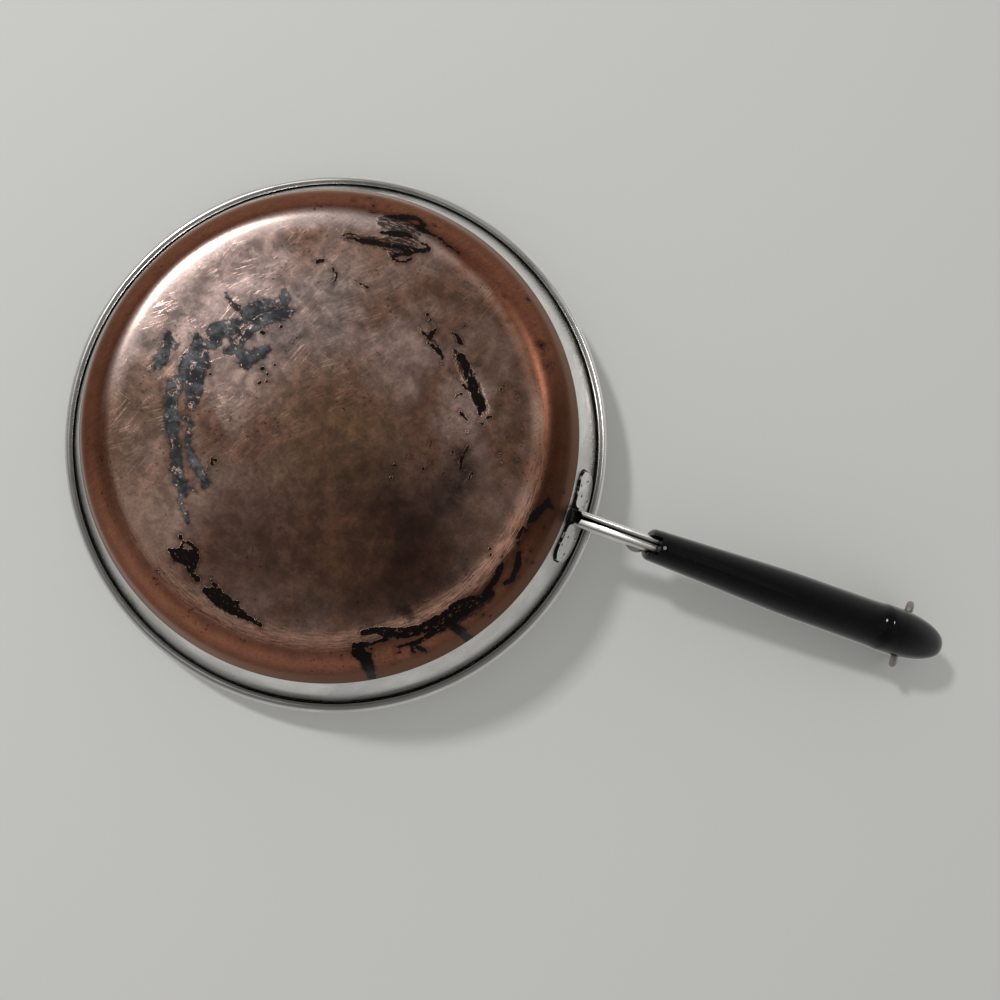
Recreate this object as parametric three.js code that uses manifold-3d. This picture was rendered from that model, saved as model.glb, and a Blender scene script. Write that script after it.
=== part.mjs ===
// Copper-bottomed stainless skillet with a folded steel handle bracket, a one-piece moulded grip and a
// hanging ring. Lengths in millimetres, +Z up, the pan's flat underside on z = 0 with its centre at the
// origin, and the handle along +X.
import * as THREE from 'three';
import { mergeVertices } from 'three/addons/utils/BufferGeometryUtils.js';
import Module from 'manifold-3d';

const wasm = await Module();
wasm.setup();

const degrees = Math.PI / 180;

// Pan body: deep-drawn steel dish with a rolled lip
const rimDiameter = 309;
const panHeight = 60;
const flatDiameter = 223;
const cornerRadius = 21;
const steelThickness = 1;
const beadDiameter = 5.2;
const beadStart = 180 * degrees;
const beadEnd = 480 * degrees;

// Copper skin on the underside and the lower wall, thinning out at its upper edge
const copperThickness = 0.5;
const copperEdgeThickness = 0.15;
const copperTaper = 8;
const copperBelowWings = 6.5;
const skinGap = 0.3;

// Handle bracket: one folded sheet with two wings on the wall and a channel as the shank
const sheetThickness = 1.2;
const weldGap = 0.3;
const wingSpan = 52.6;
const wingHeight = 20;
const wingsBelowRim = 9;
const wingCornerRadius = 8;
const handleRise = 12 * degrees;
const shankWidth = 9.4;
const shankHeight = 8.4;
const shankCornerRadius = 2.2;
const shankLength = 45;
const tangLength = 40;
const bendRadius = 2.6;
const rootMouthLength = 1.2;
const mouthTaper = 1.2;
const seamStartWidth = 2.2;
const seamWidth = 1.3;
const seamLength = 18;
const seamOffset = -0.8;
const earLength = 11;
const earReach = 2.4;
const earGap = 0.4;

// Grip: one-piece moulding, from its front collar to the swollen end
const gripLength = 198;
const collarWidth = 18.7;
const collarHeight = 19;
const collarRounding = 3;
const palmAt = 90;
const palmWidth = 26.4;
const palmHeight = 23.8;
const neckFromTip = 51;
const neckWidth = 27.6;
const neckHeight = 24.6;
const bulbFromTip = 35;
const bulbWidth = 28.8;
const bulbHeight = 27.6;
const bulbDrop = 2.6;
const neckDropShare = 0.35;
const shoulderShare = 0.82;
const gripSquareness = 2.35;
const socketClearance = 0.3;
const socketNotchLength = 5;

// Retaining pin, driven up from the underside through the tang
const pinDiameter = 2.2;
const pinFromNotch = 2.6;
const pinClearance = 0.3;
const pinSunk = 0.5;
const pinRecess = 0.7;
const pinBite = 3.5;

// Hanging ring: a bent wire whose two ends meet inside the grip's cross hole
const wireDiameter = 4.5;
const ringSideGap = 2;
const ringFromTip = 29;
const ringTipClearance = 3;
const ringBoreClearance = 0.35;
const ringEndGap = 1;
const ringStand = 68 * degrees;

// Facets
const turnSegments = 72;
const cornerSteps = 6;
const beadSteps = 10;
const sectionPoints = 26;
const gripSteps = 30;
const tipSteps = 7;
const wireSides = 10;
const wireSteps = 52;
const holeSides = 16;
const arcSteps = 5;

// Allowances for joining and cutting
const mergeDistance = 1e-4;
const overrun = 2;

const steelMaterial = new THREE.MeshStandardMaterial({ color: 0xc9c8c4, roughness: 0.25, metalness: 1 });
const copperMaterial = new THREE.MeshStandardMaterial({ color: 0x8a5a48, roughness: 0.4, metalness: 1 });
const gripMaterial = new THREE.MeshStandardMaterial({ color: 0x0c0c0d, roughness: 0.18, metalness: 0 });
const ringMaterial = new THREE.MeshStandardMaterial({ color: 0xa9a8a4, roughness: 0.35, metalness: 1 });

// A closed mesh as a solid for joining and cutting
function toSolid(geometry) {
  const bare = geometry.clone();
  bare.deleteAttribute('normal');
  bare.deleteAttribute('uv');
  const merged = mergeVertices(bare, mergeDistance);
  const index = merged.index.array;
  const triangles = [];
  for (let i = 0; i < index.length; i += 3) {
    const [a, b, c] = [index[i], index[i + 1], index[i + 2]];
    if (a !== b && b !== c && c !== a) {
      triangles.push(a, b, c);
    }
  }
  const vertProperties = new Float32Array(merged.attributes.position.array);
  const triVerts = new Uint32Array(triangles);
  return new wasm.Manifold(new wasm.Mesh({ numProp: 3, vertProperties, triVerts }));
}

function toGeometry(solid) {
  const mesh = solid.getMesh();
  const geometry = new THREE.BufferGeometry();
  geometry.setAttribute('position', new THREE.BufferAttribute(new Float32Array(mesh.vertProperties), 3));
  geometry.setIndex(new THREE.BufferAttribute(new Uint32Array(mesh.triVerts), 1));
  geometry.computeVertexNormals();
  return geometry;
}

function joined(geometries) {
  return geometries.map(toSolid).reduce((whole, solid) => whole.add(solid));
}

function namedMesh(name, geometry, material) {
  const mesh = new THREE.Mesh(geometry, material);
  mesh.name = name;
  return mesh;
}

// Profile of [radius, height] points turned about the Z axis
function revolved(profile) {
  const points = profile.map(([radius, height]) => new THREE.Vector2(radius, height));
  return new THREE.LatheGeometry(points, turnSegments).rotateX(Math.PI / 2);
}

// Points of an arc as [radius, height], ends included
function arcPoints(centre, radius, from, to, steps) {
  const points = [];
  for (let i = 0; i <= steps; i += 1) {
    const angle = from + (to - from) * i / steps;
    points.push([centre[0] + radius * Math.cos(angle), centre[1] + radius * Math.sin(angle)]);
  }
  return points;
}

// Shape drawn in two axes and extruded along the third: axes are [across, up, along]
const axesAlongX = [new THREE.Vector3(0, 1, 0), new THREE.Vector3(0, 0, 1), new THREE.Vector3(1, 0, 0)];
const axesAlongZ = [new THREE.Vector3(1, 0, 0), new THREE.Vector3(0, 1, 0), new THREE.Vector3(0, 0, 1)];

function extruded(shape, axes, from, to) {
  const options = { depth: to - from, bevelEnabled: false, curveSegments: arcSteps };
  const geometry = new THREE.ExtrudeGeometry(shape, options).translate(0, 0, from);
  return geometry.applyMatrix4(new THREE.Matrix4().makeBasis(...axes));
}

function roundedRectangle(width, height, radius, Form = THREE.Shape) {
  const [x, y] = [width / 2, height / 2];
  const form = new Form();
  form.moveTo(radius - x, -y);
  form.lineTo(x - radius, -y);
  form.absarc(x - radius, radius - y, radius, -Math.PI / 2, 0, false);
  form.lineTo(x, y - radius);
  form.absarc(x - radius, y - radius, radius, 0, Math.PI / 2, false);
  form.lineTo(radius - x, y);
  form.absarc(radius - x, y - radius, radius, Math.PI / 2, Math.PI, false);
  form.lineTo(-x, radius - y);
  form.absarc(radius - x, radius - y, radius, Math.PI, 1.5 * Math.PI, false);
  return form;
}

function polygon(points) {
  return new THREE.Shape(points.map(([x, y]) => new THREE.Vector2(x, y)));
}

function upright(radius, from, to) {
  const post = new THREE.CylinderGeometry(radius, radius, to - from, holeSides);
  return post.rotateX(Math.PI / 2).translate(0, 0, (from + to) / 2);
}

// The wall is the straight line from the lip's foot that touches the corner arc
const rimRadius = rimDiameter / 2;
const flatRadius = flatDiameter / 2;
const beadRadius = beadDiameter / 2;
const beadCentre = [rimRadius - beadRadius, panHeight - beadRadius];
const cornerCentre = [flatRadius, cornerRadius];
const steelCorner = cornerRadius - copperThickness - skinGap;
const lipFoot = arcPoints(beadCentre, beadRadius, beadStart, beadStart, 1)[0];
const lipOffset = [lipFoot[0] - cornerCentre[0], lipFoot[1] - cornerCentre[1]];
const wallAngle = Math.atan2(lipOffset[1], lipOffset[0]) + Math.asin(steelCorner / Math.hypot(...lipOffset));

// Point on the wall's outer face at a height, moved out from the steel by an offset
function onWall(height, offset) {
  const reach = steelCorner + offset;
  const run = (height - cornerCentre[1] + reach * Math.cos(wallAngle)) / Math.sin(wallAngle);
  return [cornerCentre[0] + reach * Math.sin(wallAngle) + run * Math.cos(wallAngle), height];
}

function cornerArc(radius) {
  return arcPoints(cornerCentre, radius, -Math.PI / 2, wallAngle - Math.PI / 2, cornerSteps);
}

const wingTop = panHeight - wingsBelowRim;
const wingMiddle = wingTop - wingHeight / 2;
const wingFoot = wingTop - wingHeight;
const copperHeight = wingFoot - copperBelowWings;

function panShell() {
  const lip = arcPoints(beadCentre, beadRadius, beadStart, beadEnd, beadSteps);
  const innerTop = onWall(panHeight - steelThickness, -steelThickness);
  const profile = [
    [0, cornerRadius - steelCorner],
    ...cornerArc(steelCorner),
    ...lip,
    innerTop,
    ...cornerArc(steelCorner - steelThickness).reverse(),
    [0, cornerRadius - steelCorner + steelThickness],
  ];
  return revolved(profile);
}

function copperBase() {
  const profile = [
    [0, 0],
    ...cornerArc(cornerRadius),
    onWall(copperHeight - copperTaper, skinGap + copperThickness),
    onWall(copperHeight, skinGap + copperEdgeThickness),
    onWall(copperHeight, skinGap),
    ...cornerArc(steelCorner + skinGap).reverse(),
    [0, copperThickness],
  ];
  return revolved(profile);
}

// The handle's own axes: x along the shank from the wall, z up across it
const handlePlace = new THREE.Matrix4()
  .makeTranslation(onWall(wingMiddle, 0)[0], 0, wingMiddle)
  .multiply(new THREE.Matrix4().makeRotationY(-handleRise));
const notchEnd = shankLength + socketNotchLength;
const pinAt = notchEnd + pinFromNotch;

// Band between two offsets from the wall, all round the pan
function wallBand(inner, outer) {
  const [low, high] = [wingFoot - overrun, wingTop + overrun];
  const profile = [onWall(low, inner), onWall(low, outer), onWall(high, outer), onWall(high, inner)];
  return revolved([...profile, profile[0]]);
}

function wings() {
  const outline = roundedRectangle(wingSpan, wingHeight, wingCornerRadius);
  const blank = extruded(outline, axesAlongX, flatRadius, rimRadius + overrun).translate(0, 0, wingMiddle);
  return toSolid(wallBand(weldGap, weldGap + sheetThickness)).intersect(toSolid(blank));
}

// Hollow-cheeked web from one side of the shank to its wing, leaning with the wall down to the wing's foot
function web(side) {
  const tilt = Math.PI / 2 - wallAngle + handleRise;
  const across = shankWidth / 2 + bendRadius;
  const fallAway = across ** 2 / (2 * onWall(wingMiddle, weldGap)[0]);
  const plateBack = weldGap / Math.cos(tilt) - fallAway;
  const plateFace = plateBack + sheetThickness / Math.cos(tilt);
  const inner = side * (shankWidth / 2 - sheetThickness);
  const centre = [plateFace + bendRadius, side * across];
  const plan = new THREE.Shape();
  plan.moveTo(centre[0], inner);
  plan.lineTo(plateBack, inner);
  plan.lineTo(plateBack, centre[1]);
  plan.absarc(...centre, bendRadius, Math.PI, Math.PI + side * Math.PI / 2, side < 0);
  const lean = new THREE.Matrix4();
  lean.elements[8] = Math.tan(tilt);
  const top = shankHeight / 2 - shankCornerRadius;
  return extruded(plan, axesAlongZ, -wingHeight / 2, top).applyMatrix4(lean);
}

const shankEnd = shankLength + tangLength;
const channelWidth = shankWidth - 2 * sheetThickness;
const channelHeight = shankHeight - 2 * sheetThickness;

function shankBar() {
  const section = roundedRectangle(shankWidth, shankHeight, shankCornerRadius);
  return extruded(section, axesAlongX, -shankHeight, shankEnd);
}

function shankHollow() {
  const section = roundedRectangle(channelWidth, channelHeight, shankCornerRadius - sheetThickness);
  return extruded(section, axesAlongX, -shankHeight, shankEnd + overrun);
}

// Gap along the underside: open at the root, then closing to a narrow seam off the middle
function seamGap() {
  const stretches = [
    [-shankHeight, 0, channelWidth],
    [rootMouthLength, 0, channelWidth],
    [rootMouthLength + mouthTaper, seamOffset, seamStartWidth],
    [seamLength, seamOffset, seamWidth],
    [shankEnd + overrun, seamOffset, seamWidth],
  ];
  const near = stretches.map(([at, offset, width]) => [at, offset - width / 2]);
  const far = stretches.map(([at, offset, width]) => [at, offset + width / 2]).reverse();
  return extruded(polygon([...near, ...far]), axesAlongZ, -shankHeight, 0);
}

// Opening in the sheet between the wings, below the shank's middle
function rootHollow() {
  const outline = polygon([
    [-channelWidth / 2, -wingHeight],
    [channelWidth / 2, -wingHeight],
    [channelWidth / 2, 0],
    [-channelWidth / 2, 0],
  ]);
  return extruded(outline, axesAlongX, -shankHeight, rootMouthLength);
}

// Everything inside the wall's outer face, at the height of the wings
function behindWall() {
  const [low, high] = [wingFoot - wingHeight, wingTop + wingHeight];
  return revolved([[0, low], onWall(low, weldGap), onWall(high, weldGap), [0, high]]);
}

// Half-round ear beside the shank that the grip's front stops against
function stopEar() {
  const end = shankLength - earGap;
  const radius = (earLength ** 2 / 4 + earReach ** 2) / (2 * earReach);
  const centre = [end - earLength / 2, shankWidth / 2 + earReach - radius];
  const half = Math.asin(earLength / 2 / radius);
  const inset = shankWidth / 2 - sheetThickness / 2;
  const plate = new THREE.Shape();
  plate.moveTo(end - earLength, inset);
  plate.lineTo(end, inset);
  plate.absarc(centre[0], centre[1], radius, Math.PI / 2 - half, Math.PI / 2 + half, false);
  const top = shankHeight / 2 - shankCornerRadius / 2;
  return extruded(plate, axesAlongZ, top - sheetThickness, top);
}

function handleBracket() {
  const pinHole = upright(pinDiameter / 2 + pinClearance, -shankHeight, shankHeight).translate(pinAt, 0, 0);
  const sheets = [shankBar(), web(1), web(-1), stopEar()];
  const openings = [shankHollow(), seamGap(), rootHollow(), pinHole];
  const folded = joined(sheets.map((sheet) => sheet.applyMatrix4(handlePlace)));
  const arm = folded.trimByPlane([0, 0, 1], wingFoot).add(wings());
  const cuts = joined(openings.map((opening) => opening.applyMatrix4(handlePlace)));
  return toGeometry(arm.subtract(cuts).subtract(toSolid(behindWall())));
}

// Grip cross-section at one place: half width, height above and depth below the axis
function gripRing(at, halfWidth, above, below) {
  const ring = [];
  const squared = (value) => Math.sign(value) * Math.abs(value) ** (2 / gripSquareness);
  for (let i = 0; i < sectionPoints; i += 1) {
    const angle = 2 * Math.PI * i / sectionPoints;
    const height = Math.sin(angle) > 0 ? above : below;
    ring.push([at, halfWidth * squared(Math.cos(angle)), height * squared(Math.sin(angle))]);
  }
  return ring;
}

// Skin over rings of equal point count, closed by a fan at each end
function lofted(rings) {
  const count = rings[0].length;
  const middle = (ring) => [0, 1, 2].map((axis) => ring.reduce((sum, point) => sum + point[axis], 0) / count);
  const vertices = [...rings.flat(), middle(rings[0]), middle(rings[rings.length - 1])];
  const first = rings.length * count;
  const index = [];
  for (let i = 0; i < count; i += 1) {
    const next = (i + 1) % count;
    for (let k = 0; k + 1 < rings.length; k += 1) {
      const [a, b, c, d] = [k * count + i, k * count + next, (k + 1) * count + i, (k + 1) * count + next];
      index.push(a, b, c, b, d, c);
    }
    const last = (rings.length - 1) * count;
    index.push(first, next, i, first + 1, last + i, last + next);
  }
  const geometry = new THREE.BufferGeometry();
  geometry.setAttribute('position', new THREE.Float32BufferAttribute(vertices.flat(), 3));
  geometry.setIndex(index);
  return geometry;
}

// Places along the grip: [from the front, width, height, drop of the middle below the axis]
const neckAt = gripLength - neckFromTip;
const bulbAt = gripLength - bulbFromTip;
const collar = [0, collarWidth, collarHeight, 0];
const palm = [palmAt, palmWidth, palmHeight, 0];
const neck = [neckAt, neckWidth, neckHeight, neckDropShare * bulbDrop];
const bulb = [bulbAt, bulbWidth, bulbHeight, bulbDrop];

function between(first, second, share) {
  return first.map((value, i) => value + (second[i] - value) * share);
}

// The shoulder stands half-way from neck to bulb but has most of the bulb's swelling already
const shoulder = [(neckAt + bulbAt) / 2, ...between(neck, bulb, shoulderShare).slice(1)];
const forearm = between(collar, palm, 0.5);
const waist = between(palm, neck, 0.5);
const gripOutline = [collar, forearm, palm, waist, neck, shoulder, bulb];

function gripBody() {
  const toPoint = ([at, width, height]) => new THREE.Vector3(at, width / 2, height / 2);
  const sizes = new THREE.CatmullRomCurve3(gripOutline.map(toPoint), false, 'catmullrom');
  const drops = gripOutline.map(([at, , , drop]) => new THREE.Vector3(at, drop, 0));
  const middles = new THREE.CatmullRomCurve3(drops, false, 'catmullrom');
  const rings = [];
  for (let i = 0; i <= arcSteps; i += 1) {
    const turn = Math.PI / 2 * i / arcSteps;
    const inset = collarRounding * (1 - Math.sin(turn));
    const size = collarHeight / 2 - inset;
    const at = shankLength + collarRounding * (1 - Math.cos(turn));
    rings.push(gripRing(at, collarWidth / 2 - inset, size, size));
  }
  for (let i = 1; i <= gripSteps; i += 1) {
    const size = sizes.getPoint(i / gripSteps);
    const drop = middles.getPoint(i / gripSteps).y;
    if (size.x > collarRounding) {
      rings.push(gripRing(shankLength + size.x, size.y, size.z - drop, size.z + drop));
    }
  }
  for (let i = 1; i <= tipSteps; i += 1) {
    const turn = Math.PI / 2 * i / tipSteps;
    const shrink = Math.cos(turn);
    const size = bulbHeight / 2 * shrink;
    const at = shankLength + bulbAt + bulbFromTip * Math.sin(turn);
    rings.push(gripRing(at, bulbWidth / 2 * shrink, size - bulbDrop * shrink, size + bulbDrop * shrink));
  }
  return lofted(rings);
}

const wireRadius = wireDiameter / 2;
const ringAt = shankLength + gripLength - ringFromTip;
const ringHalfSpan = bulbWidth / 2 + ringSideGap + wireRadius;
const ringCornerRadius = ringSideGap + wireRadius;

function grip() {
  const room = 2 * socketClearance;
  const socketSection = roundedRectangle(
    shankWidth + room,
    shankHeight + room,
    shankCornerRadius + socketClearance,
  );
  const socket = extruded(socketSection, axesAlongX, shankLength - overrun, shankEnd + socketClearance);
  const notchPlan = roundedRectangle(2 * socketNotchLength, shankWidth + room, shankCornerRadius);
  const notch = extruded(notchPlan, axesAlongZ, -collarHeight, 0).translate(shankLength, 0, 0);
  const recess = upright(pinDiameter / 2 + pinRecess, -collarHeight, 0).translate(pinAt, 0, 0);
  const pinHole = upright(pinDiameter / 2 + pinClearance, 0, pinTop + pinClearance).translate(pinAt, 0, 0);
  const boreRadius = wireRadius + ringBoreClearance;
  const bore = new THREE.CylinderGeometry(boreRadius, boreRadius, 2 * bulbWidth, holeSides);
  bore.translate(ringAt, 0, -bulbDrop);
  return toGeometry(toSolid(gripBody()).subtract(joined([socket, notch, recess, pinHole, bore])));
}

const pinTop = shankHeight / 2 + pinBite;

function gripPin() {
  const underside = collarHeight / 2;
  return upright(pinDiameter / 2, pinSunk - underside, pinTop);
}

// Middle line of the ring's wire: half a straight bar, a corner, a leg, then the bow, and back again
class RingLine extends THREE.Curve {
  constructor() {
    super();
    this.leg = ringFromTip + ringTipClearance + wireRadius - ringHalfSpan;
    this.bar = ringHalfSpan - ringCornerRadius - ringEndGap / 2;
    this.corner = ringCornerRadius * Math.PI / 2;
    this.bow = ringHalfSpan * Math.PI / 2;
    this.half = this.bar + this.corner + this.leg - ringCornerRadius + this.bow;
  }

  // One half, by distance from the wire's end: [out from the pivot, across]
  alongHalf(distance) {
    if (distance <= this.bar) {
      return [0, ringEndGap / 2 + distance];
    }
    const past = distance - this.bar;
    if (past <= this.corner) {
      const turn = past / ringCornerRadius;
      const across = ringHalfSpan - ringCornerRadius * (1 - Math.sin(turn));
      return [ringCornerRadius * (1 - Math.cos(turn)), across];
    }
    const out = past - this.corner + ringCornerRadius;
    if (out <= this.leg) {
      return [out, ringHalfSpan];
    }
    const sweep = (out - this.leg) / ringHalfSpan;
    return [this.leg + ringHalfSpan * Math.sin(sweep), ringHalfSpan * Math.cos(sweep)];
  }

  getPoint(t, target = new THREE.Vector3()) {
    const side = t <= 0.5 ? 1 : -1;
    const [out, across] = this.alongHalf(2 * this.half * (t <= 0.5 ? t : 1 - t));
    return target.set(out, side * across, 0);
  }
}

function hangRing() {
  const section = new THREE.Shape();
  for (let i = 0; i < wireSides; i += 1) {
    const angle = 2 * Math.PI * i / wireSides;
    const point = [wireRadius * Math.cos(angle), wireRadius * Math.sin(angle)];
    if (i === 0) {
      section.moveTo(...point);
    } else {
      section.lineTo(...point);
    }
  }
  return new THREE.ExtrudeGeometry(section, { steps: wireSteps, extrudePath: new RingLine() });
}

// Assembly
const skillet = new THREE.Group();
skillet.add(namedMesh('pan_shell', panShell(), steelMaterial));
skillet.add(namedMesh('copper_base', copperBase(), copperMaterial));
skillet.add(namedMesh('handle_bracket', handleBracket(), steelMaterial));

const handle = new THREE.Group();
handle.applyMatrix4(handlePlace);
handle.add(namedMesh('grip', grip(), gripMaterial));
const pin = namedMesh('grip_pin', gripPin(), ringMaterial);
pin.position.x = pinAt;
handle.add(pin);
const ring = namedMesh('hang_ring', hangRing(), ringMaterial);
ring.position.set(ringAt, 0, -bulbDrop);
ring.rotation.y = handleRise - ringStand;
handle.add(ring);
skillet.add(handle);

export default skillet;
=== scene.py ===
import math
import bmesh
import bpy
import numpy as np
from mathutils import Matrix, Vector


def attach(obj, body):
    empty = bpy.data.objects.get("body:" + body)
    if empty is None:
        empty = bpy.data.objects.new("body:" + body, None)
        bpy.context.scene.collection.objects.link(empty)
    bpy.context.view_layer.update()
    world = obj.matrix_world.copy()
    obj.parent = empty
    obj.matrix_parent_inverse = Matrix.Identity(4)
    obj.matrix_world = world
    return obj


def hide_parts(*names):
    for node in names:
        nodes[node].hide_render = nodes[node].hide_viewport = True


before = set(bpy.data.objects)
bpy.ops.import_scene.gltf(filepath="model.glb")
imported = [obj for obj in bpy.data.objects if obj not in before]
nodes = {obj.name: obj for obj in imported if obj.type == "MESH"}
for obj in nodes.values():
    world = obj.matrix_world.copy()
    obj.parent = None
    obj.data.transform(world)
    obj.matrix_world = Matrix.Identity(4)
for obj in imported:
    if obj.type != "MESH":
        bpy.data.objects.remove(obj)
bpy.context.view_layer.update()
scene = bpy.context.scene
scene.view_settings.view_transform = "Standard"
mm = 0.001
weldDistance = 1e-6
print("frame loaded with", len(nodes), "nodes")


# modelling helpers

def objectMode():
    if bpy.context.mode != "OBJECT":
        bpy.ops.object.mode_set(mode="OBJECT")


def deselectAll():
    objectMode()
    bpy.ops.object.select_all(action="DESELECT")


def takeUp(piece):
    deselectAll()
    piece.select_set(True)
    bpy.context.view_layer.objects.active = piece


def selectAll(action="SELECT"):
    bpy.ops.mesh.select_all(action=action)


def editAll():
    bpy.ops.object.mode_set(mode="EDIT")
    selectAll()


def linkNew(name, data):
    made = bpy.data.objects.new(name, data)
    scene.collection.objects.link(made)
    return made


# a new piece from one of the primitives
def begin(name, add, **settings):
    deselectAll()
    add(**settings)
    piece = bpy.context.object
    piece.name = piece.data.name = name
    bpy.ops.object.transform_apply()
    return piece


# a plane drawn together to one point, then pulled out along a line
def drawLine(name, points):
    piece = begin(name, bpy.ops.mesh.primitive_plane_add, size=mm)
    editAll()
    bpy.ops.mesh.merge(type="CENTER")
    bpy.ops.transform.translate(value=points[0])
    for last, point in zip(points, points[1:]):
        move = Vector(point) - Vector(last)
        bpy.ops.mesh.extrude_vertices_move(TRANSFORM_OT_translate={"value": move})
    return piece


def cleanUp():
    selectAll()
    bpy.ops.mesh.remove_doubles(threshold=weldDistance)
    bpy.ops.mesh.normals_make_consistent(inside=False)
    objectMode()


def spinProfile(name, profile, steps, smoothing):
    piece = drawLine(name, [(radius * mm, 0, height * mm) for radius, height in profile])
    applyModifier(piece, "turn", "SCREW", axis="Z", angle=2 * math.pi, steps=steps, render_steps=steps,
                  use_merge_vertices=True, merge_threshold=weldDistance)
    editAll()
    cleanUp()
    smooth(piece, smoothing)
    return piece


def smooth(piece, angle):
    takeUp(piece)
    bpy.ops.object.shade_smooth_by_angle(angle=math.radians(angle))


def applyModifier(piece, name, kind, **settings):
    takeUp(piece)
    modifier = piece.modifiers.new(name, kind)
    for setting, value in settings.items():
        setattr(modifier, setting, value)
    bpy.ops.object.modifier_apply(modifier=name)


def cutAway(piece, cutter):
    applyModifier(piece, "cut", "BOOLEAN", operation="DIFFERENCE", object=cutter, solver="EXACT")
    bpy.data.objects.remove(cutter, do_unlink=True)


def setDown(piece, place):
    takeUp(piece)
    piece.matrix_world = place
    bpy.ops.object.transform_apply()


def dress(piece, *materials):
    piece.data.materials.clear()
    for material in materials:
        piece.data.materials.append(material)


def finishPiece(piece, body, slotName, nodeName, *materials):
    dress(piece, *materials)
    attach(piece, body)
    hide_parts(nodeName)
    print("made", piece.name, "with", len(piece.data.polygons), "faces")


# shader helpers

def tone(red, green, blue):
    def linear(value):
        share = value / 255
        return share / 12.92 if share <= 0.04045 else ((share + 0.055) / 1.055) ** 2.4
    return (linear(red), linear(green), linear(blue), 1.0)


def isSocket(value):
    return isinstance(value, bpy.types.NodeSocket)


def feed(node, inputs):
    for name, value in inputs.items():
        if isSocket(value):
            node.id_data.links.new(value, node.inputs[name])
        else:
            node.inputs[name].default_value = value


# a node in the tree that its linked inputs belong to, or in the one given
def addNode(kind, inputs={}, tree=None, **settings):
    tree = tree or next(value.id_data for value in inputs.values() if isSocket(value))
    node = tree.nodes.new("ShaderNode" + kind)
    for name, value in settings.items():
        setattr(node, name, value)
    feed(node, inputs)
    return node


# arithmetic on two or more values, taken from the left
def arithmetic(operation):
    def work(first, *others):
        for other in others:
            first = addNode("Math", {0: first, 1: other}, operation=operation).outputs[0]
        return first
    return work


plus, minus, times = arithmetic("ADD"), arithmetic("SUBTRACT"), arithmetic("MULTIPLY")
larger, smaller = arithmetic("MAXIMUM"), arithmetic("MINIMUM")


def absolute(value):
    return addNode("Math", {0: value}, operation="ABSOLUTE").outputs[0]


# a noise value turned into a push to either side
def sway(value, reach):
    return times(minus(value, 0.5), reach)


def step(value, low, high, toLow=0.0, toHigh=1.0):
    inputs = {"Value": value, "From Min": low, "From Max": high, "To Min": toLow, "To Max": toHigh}
    return addNode("MapRange", inputs, interpolation_type="SMOOTHSTEP").outputs[0]


def mixColour(share, first, second, blend="MIX"):
    inputs = {0: share, 6: first, 7: second}
    return addNode("Mix", inputs, data_type="RGBA", blend_type=blend).outputs[2]


def noise(vector, size, detail=4.0, rough=0.55, distortion=0.0):
    inputs = {"Vector": vector, "Scale": 1 / size, "Detail": detail, "Roughness": rough,
              "Distortion": distortion}
    return addNode("TexNoise", inputs).outputs[0]


# turned about Z by some degrees, then drawn out along each axis
def stretched(vector, turn, scale):
    inputs = {"Vector": vector, "Rotation": (0, 0, math.radians(turn)), "Scale": scale}
    return addNode("Mapping", inputs, vector_type="TEXTURE").outputs[0]


def scaled(vector, size):
    return addNode("VectorMath", {0: vector, "Scale": size}, operation="SCALE").outputs[0]


def distance(place, centre=(0, 0, 0)):
    return addNode("VectorMath", {0: place, 1: centre}, operation="DISTANCE").outputs["Value"]


def split(vector):
    return addNode("SeparateXYZ", {0: vector}).outputs


def join(*parts):
    return addNode("CombineXYZ", dict(enumerate(parts))).outputs[0]


# a place's parts, its shadow on the floor and how far that lies from the pan's middle
def aroundPan(place):
    part = split(place)
    flat = join(part["X"], part["Y"])
    return part, flat, distance(flat)


def bump(height, depth, strength, normal=None):
    inputs = {"Height": height, "Distance": depth * mm, "Strength": strength}
    if normal:
        inputs["Normal"] = normal
    return addNode("Bump", inputs).outputs[0]


def bareTree(owner):
    owner.use_nodes = True
    owner.node_tree.nodes.clear()
    return owner.node_tree


# a material with its place on the object in millimetres
def newFinish(name):
    material = bpy.data.materials.new(name)
    tree = bareTree(material)
    shader = addNode("BsdfPrincipled", tree=tree)
    addNode("OutputMaterial", {"Surface": shader.outputs[0]}, is_active_output=True)
    spot = scaled(addNode("TexCoord", tree=tree).outputs["Object"], 1 / mm)
    return material, shader, spot


def startGroup(name, outputs, **inputs):
    group = bpy.data.node_groups.new(name, "ShaderNodeTree")
    for label, kind in inputs.items():
        group.interface.new_socket(name=label, in_out="INPUT", socket_type="NodeSocket" + kind)
    for label in outputs:
        group.interface.new_socket(name=label, in_out="OUTPUT", socket_type="NodeSocketFloat")
    return group, group.nodes.new("NodeGroupInput").outputs, group.nodes.new("NodeGroupOutput")


def useGroup(group, **inputs):
    return addNode("Group", inputs, node_tree=group).outputs


# shared effects: fine scratches, greasy smears, turned lines, black line round the bracket's wings

scratch = {
    "turns": (-53, -36, -70, 18), "long": 11, "lengthen": 0.4, "thin": 0.18, "shift": (17, 5, 9),
    "patch": 21, "patchEdge": (0.5, 0.62), "dense": 0.7, "sparse": 0.84, "edge": 0.06,
}


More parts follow.
